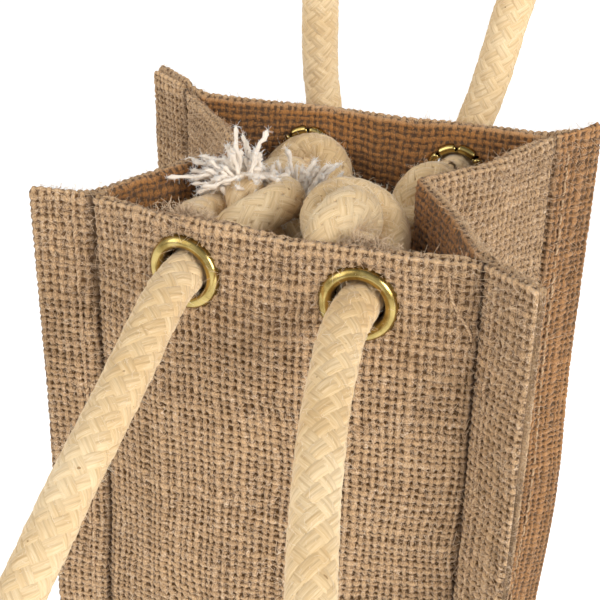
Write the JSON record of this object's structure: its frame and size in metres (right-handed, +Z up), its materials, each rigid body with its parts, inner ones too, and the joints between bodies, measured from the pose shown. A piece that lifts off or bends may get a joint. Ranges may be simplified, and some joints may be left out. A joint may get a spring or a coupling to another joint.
{
  "type": "gift bag",
  "caption": "Tall jute gift bag for one wine bottle, with creased side gussets, stitched corner fins, brass eyelets and two knotted cotton rope handles.",
  "frame": {"origin": "centre of the footprint, on the surface the bag stands on", "axes": "+Z up along the bag's height, X along its width, front panel at -Y"},
  "size_m": [0.1206, 0.2187, 0.475],
  "materials": {
    "jute": "open plain-weave jute, laminated inside",
    "brass": "polished brass",
    "rope": "braided natural cotton rope",
    "cotton": "loose white cotton yarn",
    "thread": "jute-coloured sewing thread"
  },
  "bodies": {
    "bag": {"front_panel": "jute", "back_panel": "jute", "left_gusset": "jute", "right_gusset": "jute", "base_panel": "jute", "front_left_eyelet": "brass", "front_right_eyelet": "brass", "back_left_eyelet": "brass", "back_right_eyelet": "brass", "front_left_knot": "rope", "front_right_knot": "rope", "back_left_knot": "rope", "back_right_knot": "rope", "front_left_frayed_end": "cotton", "front_right_frayed_end": "cotton", "back_left_frayed_end": "cotton", "back_right_frayed_end": "cotton", "front_left_stitching": "thread", "front_right_stitching": "thread", "back_left_stitching": "thread", "back_right_stitching": "thread", "base_stitching": "thread"},
    "front_handle": {"front_handle": "rope"},
    "back_handle": {"back_handle": "rope"}
  },
  "joints": [
    {"name": "front_handle_swing", "type": "hinge", "parent": "bag", "child": "front_handle", "pos_m": [0.005, -0.049, 0.3375], "axis": [1, 0, 0], "range_deg": [-120, 35]},
    {"name": "back_handle_swing", "type": "hinge", "parent": "bag", "child": "back_handle", "pos_m": [0.005, 0.044, 0.3375], "axis": [1, 0, 0], "range_deg": [-165, 5]}
  ]
}
